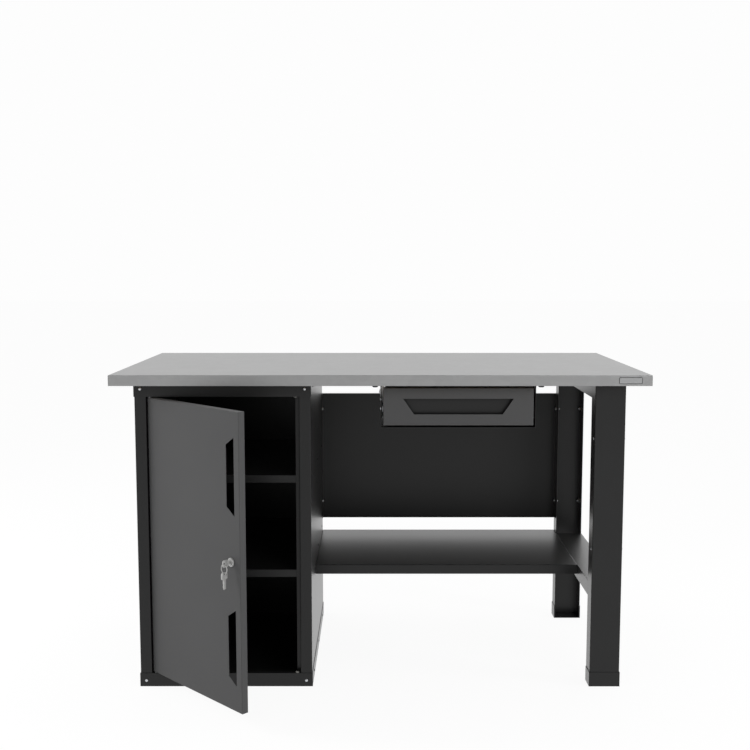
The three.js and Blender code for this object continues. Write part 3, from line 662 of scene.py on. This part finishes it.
finer("lock_nut", "door", zinc_plate, width=0.4 * mm)

# Lock core: the nickel plug that the key turns, with a zinc-plated cam on its inner end.
# The cam is stamped from flat steel, and one screw holds it on the plug.
finer("lock_plug", "lock_core", nickel_plate, width=0.2 * mm)
finer("lock_cam", "lock_core", zinc_plate, width=0.25 * mm)
finer("cam_screw", "lock_core", zinc_plate, width=0.3 * mm)

# Keys: two flat keys stamped from nickel-plated brass, with a milled groove and a coined, blank bow.
# One stands in the lock, and the other hangs from it on the ring.
key_thickness = 2.2 * mm
bow_length = 19 * mm
bow_half = 9 * mm
bow_corner = 5 * mm
bow_end = 3.2 * mm
shoulder = 1.2 * mm
blade_length = 24 * mm
blade_half = 4 * mm
blade_tip = 2 * mm
first_cut = 8 * mm
cut_pitch = 4 * mm
cut_depths = (0.8 * mm, 1.6 * mm, 0.8 * mm, 1.6 * mm)
hole_radius = 3 * mm
hole_inset = 5 * mm
groove_depth = 0.5 * mm
groove_ends = (15.5 * mm, 36 * mm)
groove_edges = (0.5 * mm, 2.0 * mm)
coin_radius = 4.2 * mm
coin_depth = 0.18 * mm
coin_spot = 8.6 * mm
coin_shape = Vector((0.75, 1.5, 1))


def disc(radius, half, sides):
    """A round disc, from half its thickness below zero to half of it above."""
    return lathe([(0, -half), (radius, -half), (radius, half), (0, half)], sides)


def key_form():
    """The key's outline raised to its thickness, with the blade along x and the hole at the origin."""
    outline = [(0, blade_half), (-shoulder, blade_half + shoulder), (-bow_end, bow_half)]
    for quarter, rise in ((1, 1), (2, -1)):
        for step in range(7):
            angle = math.pi / 2 * (quarter + step / 6)
            outline.append((
                bow_corner - bow_length + bow_corner * math.cos(angle),
                rise * (bow_half - bow_corner) + bow_corner * math.sin(angle),
            ))
    outline += [(-bow_end, -bow_half), (-shoulder, -blade_half - shoulder), (0, -blade_half)]
    for cut, depth in enumerate(cut_depths):
        middle = first_cut + cut_pitch * cut
        outline.append((middle - depth, -blade_half))
        outline.append((middle, depth - blade_half))
        outline.append((middle + depth, -blade_half))
    shank = blade_length - blade_tip
    outline += [(shank, -blade_half), (blade_length, 0), (shank, blade_half)]
    form = bmesh.new()
    shift = bow_length - hole_inset
    levels = (-key_thickness / 2, key_thickness / 2)
    skin(form, [[form.verts.new((x + shift, y, z)) for x, y in outline] for z in levels])
    return form


def make_key(node, body, place):
    """One key, put in its place."""
    piece = new_piece(f"{node}_finished", key_form(), nickel_plate)
    cutter = disc(hole_radius, key_thickness, sides=28)
    for level in (-key_thickness / 2, key_thickness / 2):
        starts, ends = zip(groove_ends, groove_edges, (level - groove_depth, level + groove_depth))
        slab(cutter, starts, ends)
        coin = disc(coin_radius, coin_depth, sides=24)
        coin.transform(Matrix.LocRotScale(Vector((coin_spot, 0, level)), None, coin_shape))
        add_form(cutter, coin)
    carve(piece, cutter)
    soften(piece, width=0.15 * mm)
    piece.data.transform(place)
    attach(piece, body)
    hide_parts(node)


ring_spot = Vector(joints["ring_swing"]["pos_m"])
spare_spot = Vector(joints["spare_key_swing"]["pos_m"])
ring_drop = Vector((0, 0, 1.7 * mm))
lying = Matrix((lock_way, Vector(up), lock_side)).transposed().to_4x4()
hanging = Matrix((Vector(down), lock_way, lock_side)).transposed().to_4x4()
make_key("key", "key", Matrix.Translation(ring_spot + ring_drop) @ lying)
make_key("spare_key", "spare_key", Matrix.Translation(spare_spot - ring_drop) @ hanging)

# Key ring: a split ring wound from two turns of flattened spring wire, nickel plated.
# The wire crosses from one turn to the other in a fifth of a turn, beside its two ends.
ring_radius = 11 * mm
wire_width = 0.92 * mm
wire_height = 1.8 * mm
wire_gap = 0.06 * mm
ring_turns = 1.94
ring_start = 0.3
ring_steps = 150
cross_start = 0.87
cross_length = 0.2
wire_outline = rounded_outline(wire_width, wire_height, corner=0.3 * mm, steps=3)
ring_form = bmesh.new()
wire_rings = []
for step in range(ring_steps + 1):
    turn = ring_turns * step / ring_steps
    angle = 2 * math.pi * (turn + ring_start)
    crossing = max(0, min(1, (turn - cross_start) / cross_length))
    offset = (crossing * crossing * (3 - 2 * crossing) - 0.5) * (wire_width + wire_gap)
    across, upward = math.cos(angle), math.sin(angle)
    wire_points = [
        ((ring_radius + height) * across, offset + width, (ring_radius + height) * upward)
        for width, height in wire_outline
    ]
    wire_rings.append([ring_form.verts.new(point) for point in wire_points])
skin(ring_form, wire_rings)
ring_form.transform(Matrix.Translation((ring_spot + spare_spot) / 2) @ lock_turn)
split_ring = new_piece("key_ring_finished", ring_form, nickel_plate)
smooth(split_ring)
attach(split_ring, "key_ring")
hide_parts("key_ring")

# Leg frame: two upright channels in folded feet, joined by two rails, all of thicker black sheet.
# The rails have tight folds and are welded to the legs, and bolts with nuts stand ready in the flanges.
give(black_coat, "front_leg", "rear_leg", "front_foot", "rear_foot")
rails = ("upper_side_rail", "lower_side_rail")
leg_sheet = 2 * mm
rail_fold = 0.4 * mm
for rail in rails:
    low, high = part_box(rail)
    inner_left, inner_right, inner_top = low.x + leg_sheet, high.x - leg_sheet, high.z - leg_sheet
    section = [
        (low.x, low.z), (low.x, high.z), (high.x, high.z), (high.x, low.z),
        (inner_right, low.z), (inner_right, inner_top), (inner_left, inner_top), (inner_left, low.z),
    ]
    rail_form = bmesh.new()
    skin(rail_form, [[rail_form.verts.new((x, y, z)) for x, z in section] for y in (low.y, high.y)])
    sharp_rail = new_piece(f"{rail}_finished", rail_form, black_coat)
    soften(sharp_rail, rail_fold)
    smooth(sharp_rail, angle=20)
    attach(sharp_rail, "frame")
    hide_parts(rail)


def hex_head(name, low, high, dome, addition):
    """A hexagon one unit across its flats, with its corners turned to a dome and a turned form added."""
    corner = 1 / 3 ** 0.5
    piece = new_piece(name, lathe([(0, low), (corner, low), (corner, high), (0, high)], sides=6))
    carve(piece, lathe(dome, sides=24), "INTERSECT")
    whole = bmesh.new()
    whole.from_mesh(piece.data)
    add_form(whole, addition)
    whole.to_mesh(piece.data)
    whole.free()
    smooth(piece)
    return piece


bolt_tail = lathe([(0, 0.4), (0.3, 0.4), (0.3, 0.72), (0.24, 0.8), (0, 0.8)], sides=16)
nut_dome = [(0, -0.1), (0.62, -0.1), (0.62, 0.36), (0.46, 0.52), (0, 0.52)]
hex_nut = hex_head("hex_nut", low=-0.02, high=0.5, dome=nut_dome, addition=bolt_tail)
bolt_levels = (375.5 * mm, 672.5 * mm)
bolt_depth = 12.5 * mm
rail_bolt_inset = 60 * mm
front_low, front_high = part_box("front_leg")
rear_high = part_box("rear_leg")[1]
leg_bolts, leg_nuts = [], []
for level in bolt_levels:
    for y in (front_low.y + bolt_depth, rear_high.y - bolt_depth):
        leg_bolts.append(((front_high.x, y, level), right))
        leg_nuts.append(((front_low.x + leg_sheet, y, level), right))
        leg_nuts.append(((front_high.x - leg_sheet, y, level), left))
    leg_bolts.append(((front_low.x, front_low.y + bolt_depth, level), left))
rail_low, rail_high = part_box("upper_side_rail")
for y in (rail_low.y + rail_bolt_inset, rail_high.y - rail_bolt_inset):
    leg_bolts.append((((rail_low.x + rail_high.x) / 2, y, rail_high.z - leg_sheet), down))
dull_zinc = plated_finish("dull_zinc", (0.2, 0.205, 0.21), (0.3, 0.305, 0.31), gloss=(0.4, 0.55))
fasten("leg_bolts", pan_head, leg_bolts, dull_zinc, size=8.5 * mm, seed=2)
fasten("leg_nuts", hex_nut, leg_nuts, zinc_plate, size=10 * mm, seed=3)

ripple_profile = [(0, -0.1), (0.5, -0.1), (0.5, 0), (0.42, 0.14), (0.24, 0.24), (0, 0.28)]
ripple = new_piece("ripple", lathe(ripple_profile, sides=12))
smooth(ripple, angle=60)
lay_weld, seams_in, weld_keys, beads_out = geometry_group(
    "lay_weld",
    {
        "Seams": "Geometry", "Ripple": "Object", "Pitch": "Float", "Width": "Float",
        "Finish": "Material", "Seed": "Int",
    },
    "Beads",
)
seam = add_node(lay_weld, "GeometryNodeMeshToCurve", {"Mesh": seams_in["Seams"]})
stepped = add_node(
    lay_weld, "GeometryNodeResampleCurve",
    {"Curve": seam.outputs["Curve"], "Length": seams_in["Pitch"]}, mode="LENGTH",
)
uneven = add_node(
    lay_weld, "FunctionNodeRandomValue", {"Seed": seams_in["Seed"], 2: 0.86, 3: 1.12}, data_type="FLOAT",
)
set_heads(
    lay_weld, stepped.outputs["Curve"], seams_in["Ripple"], outward_turn(lay_weld),
    multiply(lay_weld, uneven.outputs[1], seams_in["Width"]), seams_in["Finish"], beads_out,
)

seam_foot = 3 * mm
seam_head = 4 * mm
bead_pitch = 1.6 * mm
bead_width = 5 * mm
seam_ends, seam_edges = [], []
for rail in rails:
    low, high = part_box(rail)
    for y in (low.y, high.y):
        for x, way in ((low.x + leg_sheet, right), (high.x - leg_sheet, left)):
            seam_edges.append((len(seam_ends), len(seam_ends) + 1))
            seam_ends += [((x, y, low.z + seam_foot), way), ((x, y, high.z - seam_head), way)]
weld_beads = spots_mesh("weld_beads", seam_ends, seam_edges)
grow(
    weld_beads, lay_weld, weld_keys,
    {"Ripple": ripple, "Pitch": bead_pitch, "Width": bead_width, "Finish": black_coat, "Seed": 4},
)
bpy.data.objects.remove(ripple)
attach(weld_beads, "frame")

# Back panel and lower shelf: two wide pressed sheets, with their rims turned, in the black coat.
# Screws hold the panel's side flanges to the cabinet and to the rear leg.
give(black_coat, "back_panel", "lower_shelf")
panel_low, panel_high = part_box("back_panel")
shelf_low, shelf_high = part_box("lower_shelf")
shelf_screw_inset = 40 * mm
shelf_level = (shelf_low.z + shelf_high.z) / 2
panel_screws = []
for level in bolt_levels:
    y = panel_high.y - bolt_depth
    panel_screws += [((panel_low.x + sheet, y, level), right), ((panel_high.x - sheet, y, level), left)]
for y in (shelf_low.y + shelf_screw_inset, shelf_high.y - shelf_screw_inset):
    for x, way in ((shelf_low.x + sheet, right), (shelf_high.x - sheet, left)):
        panel_screws.append(((x, y, shelf_level), way))
fasten("panel_screws", pan_head, panel_screws, zinc_plate, size=10 * mm, seed=5)

# Drawer casing: a folded black channel hung under the worktop by two flanges and four hexagon bolts.
# Screws through its walls hold the outer members of the slides.
give(black_coat, "drawer_casing")
casing_low, casing_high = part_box("drawer_casing")
washer = lathe([(0, -0.02), (0.78, -0.02), (0.8, 0.02), (0.8, 0.11), (0.76, 0.14), (0, 0.14)], sides=28)
bolt_dome = [(0, 0), (0.62, 0), (0.62, 0.4), (0.46, 0.56), (0, 0.56)]
hex_bolt = hex_head("hex_bolt", low=0.1, high=0.55, dome=bolt_dome, addition=washer)
flange_width = 30 * mm
hanger_front = 12 * mm
hanger_back = 50 * mm
hanger_bolts = [
    ((x, y, casing_high.z - sheet), down)
    for x in (casing_low.x + flange_width / 2, casing_high.x - flange_width / 2)
    for y in (casing_low.y + hanger_front, casing_high.y - hanger_back)
]
fasten("hanger_bolts", hex_bolt, hanger_bolts, black_coat, size=13 * mm, seed=6)
slide_low, slide_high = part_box("slide_outer_left")
slide_level = (slide_low.z + slide_high.z) / 2
slide_row_gap = 24.5 * mm
slide_spots = [slide_low.y + along for along in (14 * mm, 200 * mm, 380 * mm)]
slide_screws = []
for y in slide_spots:
    for level in (slide_level, slide_level + slide_row_gap):
        slide_screws += [
            ((casing_low.x + flange_width, y, level), left),
            ((casing_high.x - flange_width, y, level), right),
        ]
fasten("slide_screws", pan_head, slide_screws, zinc_plate, size=9 * mm, seed=7)

# Drawer: a pressed black box with a grey folded front, which has a wide finger slot.
# Screws from inside the box hold its front and the inner members of the slides.
give(black_coat, "drawer_box")
give(grey_coat, "drawer_front")
box_low, box_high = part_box("drawer_box")
box_sheet = 1 * mm
box_middle = (box_low.x + box_high.x) / 2
front_screw_reach = 165 * mm
front_screw_foot = 20 * mm
front_screw_head = 18 * mm
box_screws = [
    ((box_middle + side * front_screw_reach, box_low.y + box_sheet, level), back)
    for side in (-1, 1) for level in (box_low.z + front_screw_foot, box_high.z - front_screw_head)
]
for y in slide_spots:
    for x, way in ((box_low.x + box_sheet, right), (box_high.x - box_sheet, left)):
        box_screws.append(((x, y, slide_level), way))
fasten("drawer_screws", pan_head, box_screws, zinc_plate, size=7 * mm, body="drawer", seed=8)

# Ball slides: three zinc-plated channels on each side, rolling in each other on caged balls.
# Black end stops sit on the front ends, one on the outer channel and two on the middle one, above and
# below, and their black is also painted shade for the shadowed gap between the casing and the drawer front.
shade_stop_depth = 2 * mm
shade_stop_gap = 7 * mm
outer_shade_stop = (0, 2.5 * mm)
middle_shade_stop = (2.6 * mm, 4.1 * mm)


def end_shade_stop(node, body, reach, wall, towards, gap):
    """Coated pads on the front end of one channel, clear of the next one: end stops whose black is also
    painted shade.
    """
    low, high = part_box(node)
    middle = (low.z + high.z) / 2
    half = (high.z - low.z) / 2
    form = bmesh.new()
    x_low, x_high = sorted(wall + towards * depth for depth in reach)
    spans = [(-half, half)] if gap == 0 else [(gap, half), (-half, -gap)]
    for lower, upper in spans:
        slab(form, (x_low, low.y - shade_stop_depth, middle + lower), (x_high, low.y, middle + upper))
    piece = new_piece(f"{node}_stop", form, black_coat)
    soften(piece, width=0.3 * mm)
    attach(piece, body)


for side, towards in (("left", 1), ("right", -1)):
    for part in ("slide_outer", "slide_middle", "slide_inner", "ball_cage_outer", "ball_cage_inner"):
        give(zinc_plate, f"{part}_{side}")
    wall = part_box(f"slide_outer_{side}")[0 if towards > 0 else 1].x
    # The black pads paint the shade that falls on the slide ends behind the drawer front.
    end_shade_stop(f"slide_outer_{side}", "frame", outer_shade_stop, wall, towards, 0)
    end_shade_stop(f"slide_middle_{side}", f"slide_middle_{side}", middle_shade_stop, wall, towards, shade_stop_gap)
for head in (pan_head, rivet_head, hex_nut, hex_bolt):
    bpy.data.objects.remove(head)

# Studio: a wide pale floor, and a white room that is dimmer in front of the bench than behind it.
# Two large soft lamps stand above the front, with small ones at the left, low on the right and behind.
floor_half = 30.0
floor_dark = (0.6, 0.6, 0.6)
floor_pale = (0.95, 0.95, 0.95)
floor_glow = 0.93
room_front = 0.24
room_back = 1.0
room_right = 1.15
room_seen = 0.983
floor_mesh = bpy.data.meshes.new("floor")
floor_corners = [(x * floor_half, y * floor_half, 0) for x, y in ((-1, -1), (1, -1), (1, 1), (-1, 1))]
floor_mesh.from_pydata(floor_corners, [], [(0, 1, 2, 3)])
floor = bpy.data.objects.new("floor", floor_mesh)
scene = bpy.context.scene
scene.collection.objects.link(floor)
paper = bpy.data.materials.new("studio_floor")
paper.use_nodes = True
tree = paper.node_tree
tree.nodes.remove(tree.nodes["Principled BSDF"])
rays = tree.nodes.new("ShaderNodeLightPath").outputs
floor_tone = shade(tree, rays["Is Camera Ray"], floor_dark, floor_pale)
lit = add_node(tree, "ShaderNodeBsdfDiffuse", {"Color": floor_tone}).outputs[0]
white = add_node(tree, "ShaderNodeEmission", {"Color": (1, 1, 1, 1), "Strength": 1.0}).outputs[0]
seen = add_node(
    tree, "ShaderNodeMath", {0: rays["Is Camera Ray"], 1: rays["Is Glossy Ray"]}, operation="MAXIMUM",
)
glow = multiply(tree, seen.outputs["Value"], floor_glow)
mixed = add_node(tree, "ShaderNodeMixShader", {0: glow, 1: lit, 2: white})
tree.links.new(mixed.outputs[0], tree.nodes["Material Output"].inputs["Surface"])
floor_mesh.materials.append(paper)

world = bpy.data.worlds.new("studio")
scene.world = world
world.use_nodes = True
tree = world.node_tree
rays = tree.nodes.new("ShaderNodeLightPath").outputs
way = tree.nodes.new("ShaderNodeTexCoord").outputs["Generated"]
axes = add_node(tree, "ShaderNodeSeparateXYZ", {"Vector": way}).outputs
behind = spread(
    tree, axes["Y"], start=-0.5, end=0.4, low=room_front, high=room_back, interpolation_type="SMOOTHSTEP",
)
rightward = spread(tree, axes["X"], start=0.05, end=0.6, low=1.0, high=room_right)
strength = blend(tree, multiply(tree, behind, rightward), room_seen, share=rays["Is Camera Ray"])
room = tree.nodes["Background"].inputs
tree.links.new(strength, room["Strength"])
room["Color"].default_value = (1, 1, 1, 1)


def soft_lamp(name, spot, target, size, power, mirrored=True, lighting=True):
    """A soft box that looks at a point. It can be kept out of reflections, or give nothing else."""
    lamp = bpy.data.lights.new(name, "AREA")
    lamp.shape = "RECTANGLE"
    lamp.size, lamp.size_y = size
    lamp.energy = power
    holder = bpy.data.objects.new(name, lamp)
    scene.collection.objects.link(holder)
    holder.visible_glossy = mirrored
    holder.visible_diffuse = lighting
    holder.location = spot
    holder.rotation_euler = (Vector(target) - Vector(spot)).to_track_quat("-Z", "Y").to_euler()


soft_lamp("lamp_left", (-2.2, -3.4, 2.5), (-0.2, 0, 0.4), size=(2.4, 1.8), power=26)
soft_lamp("lamp_side", (-3.2, 0.25, 1.5), (-0.4, -0.3, 0.5), size=(0.9, 0.9), power=54, mirrored=False)
soft_lamp("lamp_right", (2.1, -3.0, 2.5), (0.2, 0, 0.4), size=(2.6, 2.0), power=43)
soft_lamp("lamp_low", (2.7, -0.75, 0.95), (-0.3, -0.3, 0.6), size=(0.5, 0.5), power=24, mirrored=False)
soft_lamp("lamp_behind", (1.4, 1.2, 0.63), (0.55, -0.05, 0.42), size=(1.0, 0.42), power=3.8, lighting=False)

# Camera: a little above the worktop and far back from the middle of the bench.
# It is tilted a little down, so that the floor under the bench shows as well.
camera_side = -13.5 * mm
camera_distance = 2659.3 * mm
camera_height = 1126.5 * mm
camera_tilt = 6.03
lens = bpy.data.cameras.new("camera")
lens.lens = 50
lens.sensor_width = 36
camera = bpy.data.objects.new("camera", lens)
scene.collection.objects.link(camera)
camera.location = (camera_side, skin_low.y - camera_distance, camera_height)
camera.rotation_euler = (math.radians(90 - camera_tilt), 0, 0)
scene.camera = camera

scene.view_settings.view_transform = "Standard"
